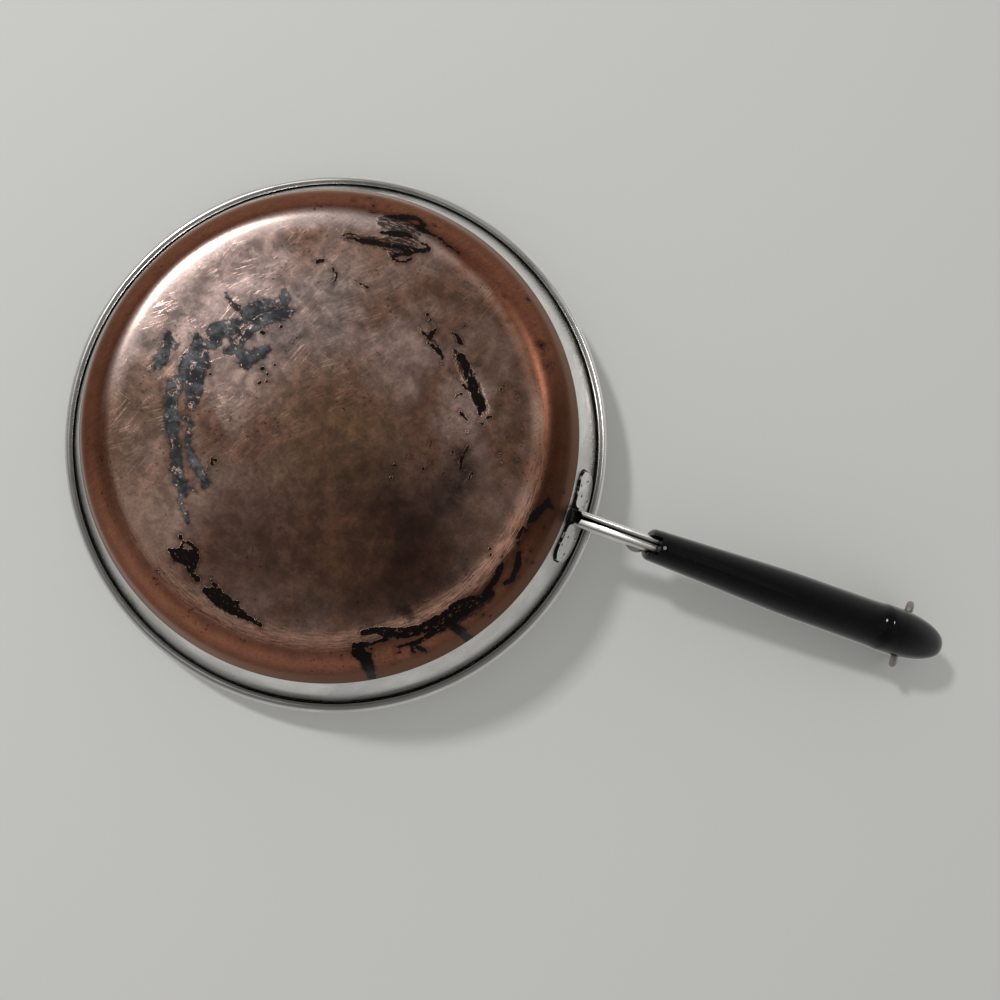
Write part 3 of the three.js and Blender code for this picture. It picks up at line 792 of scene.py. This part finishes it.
grip = {
    "front": 45, "length": 197.8, "squareness": 0.856, "softening": (0.5, 8), "rounding": 3,
    # from the front, width, height, drop of the middle
    "stations": [(0, 18.7, 19, 0), (45, 22.55, 21.4, 0), (90, 26.4, 23.8, 0), (118.5, 27, 24.2, 0.455),
                 (147, 27.6, 24.6, 0.91), (155, 28.584, 27.06, 2.296), (163, 28.8, 27.6, 2.6)],
    "tip": 34.8, "socketWidth": 10, "socketHeight": 9, "socketEnd": 85.3, "socketRound": 2.5,
    "notch": 5, "notchRound": 2.2, "pinAt": 52.6, "recess": 3.6, "pinHole": 2.8, "pinDepth": 16,
    "ringAt": 214, "ringDrop": 2.6, "bore": 5.2, "boreLength": 60, "overrun": 2, "below": 20,
    # mesh: cuts in the starting square's sides, loops on the front edge, the body and the tip
    "sideCuts": 17, "frontLoops": 8, "bodyLoops": 110, "bodyGap": 0.5, "tipLoops": 24, "smoothing": 32,
    "barSteps": 8, "rodSides": 40,
    "colour": tone(4, 4, 5), "dust": tone(60, 59, 56), "rough": (0.2, 0.8, 0.04, 0.08), "sheen": 0.26,
    "smearSize": 2.2, "scratched": 0.45, "dustFlecks": 0.15, "dustScratches": 0.1, "scratchRough": 0.2,
    "wave": (14, 2), "scratchDepth": 0.1, "relief": (0.12, 0.3),
}


def curveThrough(points, steps):
    points = [np.array(point, float) for point in points]
    points = [2 * points[0] - points[1]] + points + [2 * points[-1] - points[-2]]
    found = []
    for i in range(steps + 1):
        along = i / steps * (len(points) - 3)
        k = min(int(along), len(points) - 4)
        t = along - k
        a, b, c, d = points[k:k + 4]
        found.append(0.5 * (2 * b + (c - a) * t + (2 * a - 5 * b + 4 * c - d) * t ** 2
                            + (3 * b - a - 3 * c + d) * t ** 3))
    return found


def quarterTurns(steps):
    return [math.pi / 2 * i / steps for i in range(steps + 1)]


def roundedBar(size, middle, radius, axis):
    piece = begin("cutter", bpy.ops.mesh.primitive_cube_add, size=1)
    editAll()
    bpy.ops.transform.resize(value=[value * mm for value in size])
    mesh = bmesh.from_edit_mesh(piece.data)
    for edge in mesh.edges:
        line = edge.verts[0].co - edge.verts[1].co
        edge.select = abs(line.normalized()[axis]) > 0.9
    bmesh.update_edit_mesh(piece.data)
    bpy.ops.mesh.bevel(offset=radius * mm, segments=grip["barSteps"], affect="EDGES")
    selectAll()
    bpy.ops.transform.translate(value=[value * mm for value in middle])
    objectMode()
    return piece


def drillRod(diameter, depth, middle, turn=0.0):
    return begin("cutter", bpy.ops.mesh.primitive_cylinder_add, vertices=grip["rodSides"], radius=diameter / 2 * mm,
                 depth=depth * mm, location=[value * mm for value in middle], rotation=(turn, 0, 0))


# sections along the grip
def gripStations():
    _, wide, high, drop = grip["stations"][0]
    stations = []
    for turn in quarterTurns(grip["frontLoops"]):
        inset = 2 * grip["rounding"] * (1 - math.sin(turn))
        stations.append((grip["rounding"] * (1 - math.cos(turn)), wide - inset, high - inset, drop))
    body = curveThrough(grip["stations"], grip["bodyLoops"])
    stations += [tuple(section) for section in body if section[0] > grip["rounding"] + grip["bodyGap"]]
    bulbAt, wide, high, drop = grip["stations"][-1]
    for turn in quarterTurns(grip["tipLoops"])[1:-1]:
        shrink = math.cos(turn)
        stations.append((bulbAt + grip["tip"] * math.sin(turn), wide * shrink, high * shrink, drop * shrink))
    return stations


def makeGrip():
    piece = begin("handleGrip", bpy.ops.mesh.primitive_plane_add, size=2 * mm, rotation=(0, math.pi / 2, 0))
    editAll()
    bpy.ops.mesh.delete(type="ONLY_FACE")
    selectAll()
    bpy.ops.mesh.subdivide(number_cuts=grip["sideCuts"])
    bpy.ops.transform.tosphere(value=grip["squareness"])
    factor, repeat = grip["softening"]
    bpy.ops.mesh.vertices_smooth(factor=factor, repeat=repeat)
    mesh = bmesh.from_edit_mesh(piece.data)
    width, height = max(v.co.y for v in mesh.verts), max(v.co.z for v in mesh.verts)
    bpy.ops.transform.resize(value=(1, mm / width, mm / height))

    # the loop is now 2 mm wide and high; it is pulled out from station to station
    front = grip["front"]
    last = (-front, 2.0, 2.0, 0.0)
    for i, (at, wide, high, drop) in enumerate(gripStations()):
        move = ((at - last[0]) * mm, 0, (last[3] - drop) * mm)
        if i == 0:
            bpy.ops.transform.translate(value=move)
        else:
            bpy.ops.mesh.extrude_edges_move(TRANSFORM_OT_translate={"value": move})
        centre = ((front + at) * mm, 0, -drop * mm)
        bpy.ops.transform.resize(value=(1, wide / last[1], high / last[2]), center_override=centre)
        last = (at, wide, high, drop)
    move = ((grip["length"] - last[0]) * mm, 0, last[3] * mm)
    bpy.ops.mesh.extrude_edges_move(TRANSFORM_OT_translate={"value": move})
    bpy.ops.mesh.merge(type="CENTER")
    selectAll("DESELECT")
    mesh = bmesh.from_edit_mesh(piece.data)
    for edge in mesh.edges:
        edge.select = edge.is_boundary
    bmesh.update_edit_mesh(piece.data)
    bpy.ops.mesh.edge_face_add()
    cleanUp()

    socketSize = (grip["socketEnd"] - front + grip["overrun"], grip["socketWidth"], grip["socketHeight"])
    socketMiddle = ((front + grip["socketEnd"] - grip["overrun"]) / 2, 0, 0)
    cutAway(piece, roundedBar(socketSize, socketMiddle, grip["socketRound"], 0))
    below = grip["below"]
    notchSize = (2 * grip["notch"], grip["socketWidth"], below)
    cutAway(piece, roundedBar(notchSize, (front, 0, -below / 2), grip["notchRound"], 2))
    cutAway(piece, drillRod(grip["recess"], below, (grip["pinAt"], 0, -below / 2)))
    cutAway(piece, drillRod(grip["pinHole"], grip["pinDepth"], (grip["pinAt"], 0, 0)))
    borePlace = (grip["ringAt"], 0, -grip["ringDrop"])
    cutAway(piece, drillRod(grip["bore"], grip["boreLength"], borePlace, math.pi / 2))
    smooth(piece, grip["smoothing"])
    setDown(piece, handlePlace)
    return piece


def gripFinish():
    material, shader, spot = newFinish("glossyResin")
    smear, fleck, worn = wear(spot, grip)
    dust = plus(times(fleck, grip["dustFlecks"]), times(worn, grip["dustScratches"]))
    rough = step(smear, *grip["rough"])
    feed(shader, {
        "Base Color": mixColour(dust, grip["colour"], grip["dust"]),
        "Roughness": plus(rough, times(worn, grip["scratchRough"])),
        "Specular IOR Level": grip["sheen"],
        "Normal": relief(noise(spot, *grip["wave"]), worn, grip),
    })
    return material


finishPiece(makeGrip(), "pan", "grip_resin", "grip", gripFinish())


# bracket: the folded sheet, edges broken, with shallow spot-weld dents on both wings

bracket = {
    "edge": 0.28, "edgeSteps": 2, "edgeAngle": 38, "flatAngle": 0.5, "smoothing": 36,
    # dents on one wing: y, z
    "dents": [(12, 36.6), (11.2, 47.4), (21.6, 42.5), (17.3, 33.4)],
    "dentRadius": 0.85, "dentDepth": 0.55, "dentSides": 20, "dentRings": 12, "sheet": 1.5,
    "smearSize": 2, "scratched": 0.4, "rough": (0.26, 0.36), "flecks": 0.4, "dentGrime": (1, 0.8),
    # inside the channel: full soot near the root, and painted shade at 0.6 along the rest of it
    "channel": (3.55, 3.05), "channelEdge": (0.12, 0), "sootAndShadeEnd": (40, 12, 0.6, 1),
    "drawnScale": (30, 0.5, 0.5), "drawnHeight": 0.08, "scratchDepth": 0.3, "relief": (0.02, 0.3),
}


def dentCentre(across, height):
    reach = onWall(height, bracket["sheet"])[0]
    turn = math.asin(across / reach)
    lift = bracket["dentRadius"] - bracket["dentDepth"]
    out = reach + lift * math.sin(wallTurn)
    return (out * math.cos(turn), out * math.sin(turn), height - lift * math.cos(wallTurn))


dentCentres = [dentCentre(*dent) for dent in bracket["dents"]]


def makeBracket():
    piece = linkNew("bracketSheet", nodes["handle_bracket"].data.copy())
    takeUp(piece)
    editAll()
    bpy.ops.mesh.remove_doubles(threshold=weldDistance)
    selectAll()
    bpy.ops.mesh.dissolve_limited(angle_limit=math.radians(bracket["flatAngle"]))
    objectMode()
    for side in (-1, 1):
        for out, across, height in dentCentres:
            cutAway(piece, begin("cutter", bpy.ops.mesh.primitive_uv_sphere_add, segments=bracket["dentSides"],
                                 ring_count=bracket["dentRings"], radius=bracket["dentRadius"] * mm,
                                 location=(out * mm, side * across * mm, height * mm)))
    applyModifier(piece, "rounding", "BEVEL", width=bracket["edge"] * mm, segments=bracket["edgeSteps"],
                  limit_method="ANGLE", angle_limit=math.radians(bracket["edgeAngle"]), use_clamp_overlap=True,
                  miter_outer="MITER_ARC")
    smooth(piece, bracket["smoothing"])
    return piece


def bracketFinish():
    material, shader, spot = newFinish("bracketSteel")
    smear, fleck, worn = wear(spot, bracket)
    around = useGroup(wingLine, Place=spot)
    local = addNode("Mapping", {
        "Vector": spot, "Location": (handle["root"][0], 0, handle["root"][1]),
        "Rotation": (0, math.radians(-handle["rise"]), 0)}, vector_type="TEXTURE").outputs[0]
    part = split(local)
    # inside the folded channel: soot near the root, and painted shade along the rest, seen through the slit
    wide, high = bracket["channel"]
    hollow = larger(minus(absolute(part["Y"]), wide), minus(absolute(part["Z"]), high))
    sootAndShade = times(step(hollow, *bracket["channelEdge"]), step(part["X"], *bracket["sootAndShadeEnd"]))
    mirrored = addNode("VectorMath", {0: spot}, operation="ABSOLUTE").outputs[0]
    dents = [step(distance(mirrored, centre), *bracket["dentGrime"]) for centre in dentCentres]
    dirtAndShade = larger(around["Root"], sootAndShade, around["Line"], times(fleck, bracket["flecks"]), *dents)
    colour, rough = steelBase(smear, bracket["rough"])
    drawn = noise(stretched(local, 0, bracket["drawnScale"]), 1.0, detail=3.0)
    drawn = times(drawn, bracket["drawnHeight"])
    feedSteel(shader, colour, rough, dirtAndShade, relief(drawn, worn, bracket))
    return material


finishPiece(makeBracket(), "pan", "steel", "handle_bracket", bracketFinish())


# hanging ring: one wire bent round, its two ends meeting in the grip's cross hole

ring = {
    "pivot": (352.0532, 0, 82.9499), "stand": 68, "wire": 4.48, "halfSpan": 18.65, "corner": 4.25,
    "leg": 15.6, "endGap": 1, "sides": 6, "cornerSteps": 10, "bowSteps": 32, "smoothing": 40,
    "colour": tone(158, 156, 150), "dull": tone(112, 106, 98), "rough": (0.2, 0.8, 0.3, 0.5), "metal": 0.9,
    "smearSize": 4, "scratched": 0.5, "flecks": 0.5, "pits": (1.1, 3), "scratchDepth": 0.5,
    "relief": (0.03, 0.4), "ringTarnish": 0.9, "pinTarnish": 0.25,
}


def makeRing():
    half, corner = ring["halfSpan"], ring["corner"]
    side = [(0, ring["endGap"] / 2), (0, half - corner)]
    side += [(corner * (1 - math.cos(turn)), half - corner * (1 - math.sin(turn)))
             for turn in quarterTurns(ring["cornerSteps"])[1:]]
    side += [(ring["leg"] + half * math.sin(turn), half * math.cos(turn)) for turn in quarterTurns(ring["bowSteps"])]
    line = side + [(out, -across) for out, across in side[-2::-1]]
    piece = drawLine("hangRingWire", [(out * mm, across * mm, 0) for out, across in line])
    objectMode()
    bpy.ops.object.convert(target="CURVE")
    wire = piece.data
    wire.bevel_depth = ring["wire"] / 2 * mm
    wire.bevel_resolution = ring["sides"]
    wire.use_fill_caps = True
    bpy.ops.object.convert(target="MESH")
    editAll()
    cleanUp()
    setDown(piece, Matrix.Translation([value * mm for value in ring["pivot"]])
            @ Matrix.Rotation(math.radians(-ring["stand"]), 4, "Y"))
    smooth(piece, ring["smoothing"])
    return piece


def wireFinish(name, tarnish):
    material, shader, spot = newFinish(name)
    smear, fleck, worn = wear(spot, ring)
    colour = mixColour(times(smear, tarnish), ring["colour"], ring["dull"])
    feed(shader, {
        "Base Color": mixColour(times(fleck, ring["flecks"]), colour, steel["grimeAndShade"]),
        "Metallic": ring["metal"],
        "Roughness": step(smear, *ring["rough"]),
        "Normal": relief(noise(spot, *ring["pits"]), worn, ring),
    })
    return material


finishPiece(makeRing(), "ring", "wire", "hang_ring", wireFinish("dullWire", ring["ringTarnish"]))
dress(nodes["grip_pin"], wireFinish("pinSteel", ring["pinTarnish"]))


# stage: a table floor under the pan and a second pale floor behind it for the view from below

stage = {
    "floor": tone(219, 219, 216), "tableSize": 8, "tableDrop": 0.0005,
    "backSize": (0.95, 0.9), "backMiddle": 0.11, "backLow": (-154.5, 60.4), "backHigh": (367, 117.4),
}


def paleFloor(name, floors):
    material = bpy.data.materials.new(name)
    tree = bareTree(material)
    diffuse = addNode("BsdfDiffuse", {"Color": stage["floor"]}, tree=tree)
    clear = addNode("BsdfTransparent", tree=tree)
    back = addNode("NewGeometry", tree=tree).outputs["Backfacing"]
    shown = addNode("MixShader", {0: back, 1: diffuse.outputs[0], 2: clear.outputs[0]})
    addNode("OutputMaterial", {"Surface": shown.outputs[0]})
    for floor in floors:
        dress(floor, material)
        floor.visible_diffuse = floor.visible_glossy = floor.visible_transmission = floor.visible_shadow = False


tableFloor = begin("tableFloor", bpy.ops.mesh.primitive_plane_add, size=stage["tableSize"],
                   location=(0, 0, -stage["tableDrop"]))
backFloor = begin("backFloor", bpy.ops.mesh.primitive_plane_add, size=1)
lowX, lowZ = stage["backLow"]
highX, highZ = stage["backHigh"]
tilt = math.atan2(highZ - lowZ, highX - lowX)
midX = stage["backMiddle"]
backFloor.scale = (*stage["backSize"], 1)
backFloor.rotation_euler = (math.pi, -tilt, 0)
backFloor.location = (midX, 0, (lowZ + (midX / mm - lowX) * math.tan(tilt)) * mm)
paleFloor("paleFloor", [tableFloor, backFloor])


# light: one soft key from the upper left of the picture, a weak fill, soft lamps overhead

lamps = [
    # name, direction from the pan, distance, size, watts; those overhead give no mirrored patch
    ("keyLamp", (-0.5, -0.298, -0.814), 2.2, 0.2, 17),
    ("roomLight", (0.46, -0.1, -0.88), 1.6, 0.8, 0.2),
    ("ceilingLamp", (0.38, -0.4, -0.83), 1.5, 0.2, 4),
    ("overLamp", (0.3, -0.5, 1.1), 1.5, 1, 14),
    ("overFill", (-0.7, 0.8, 0.9), 1.7, 1, 8),
]
target = Vector((0.06, 0.0, 0.03))
for name, direction, reach, size, watts in lamps:
    data = bpy.data.lights.new(name, "AREA")
    data.size, data.energy = size, watts
    lamp = linkNew(name, data)
    toward = Vector(direction).normalized()
    lamp.location = target + toward * reach
    lamp.rotation_euler = toward.to_track_quat("Z", "Y").to_euler()
    lamp.visible_glossy = toward.z < 0
    lamp.visible_diffuse = name != "ceilingLamp"

room = {
    "seen": (0.62, 0.62, 0.61, 1), "diffuse": (0.48, 0.48, 0.47, 1), "bottom": (0.17, 0.17, 0.17, 1),
    "near": (0.62, 0.62, 0.61, 1), "far": (0.94, 0.94, 0.92, 1), "across": (0.1, -0.8), "upward": (-0.96, -0.1),
}
world = bpy.data.worlds.new("softRoom")
scene.world = world
world.cycles.sampling_method = "NONE"
tree = bareTree(world)
toward = split(addNode("TexCoord", tree=tree).outputs["Generated"])
path = addNode("LightPath", tree=tree).outputs
sides = mixColour(step(toward["Y"], *room["across"]), room["near"], room["far"])
mirrored = mixColour(step(toward["Z"], *room["upward"]), room["bottom"], sides)
light = mixColour(path["Is Glossy Ray"], room["diffuse"], mirrored)
light = mixColour(path["Is Camera Ray"], light, room["seen"])
addNode("OutputWorld", {0: addNode("Background", {0: light}).outputs[0]})

# camera in the photograph's place, looking up at the pan's underside
view = {
    "place": (95.684, 53.353, -586.4), "lens": 40.536, "sensor": 36,
    "right": (0.94760, -0.31805, -0.02996), "down": (0.31942, 0.94485, 0.07228),
    "forward": (0.00531, -0.07806, 0.99693),
}
cameraData = bpy.data.cameras.new("viewCamera")
cameraData.lens, cameraData.sensor_width = view["lens"], view["sensor"]
camera = linkNew("viewCamera", cameraData)
axes = Matrix((view["right"], -Vector(view["down"]), -Vector(view["forward"]))).transposed()
camera.matrix_world = Matrix.Translation(Vector(view["place"]) * mm) @ axes.to_4x4()
scene.camera = camera
print("stage, light and camera set")
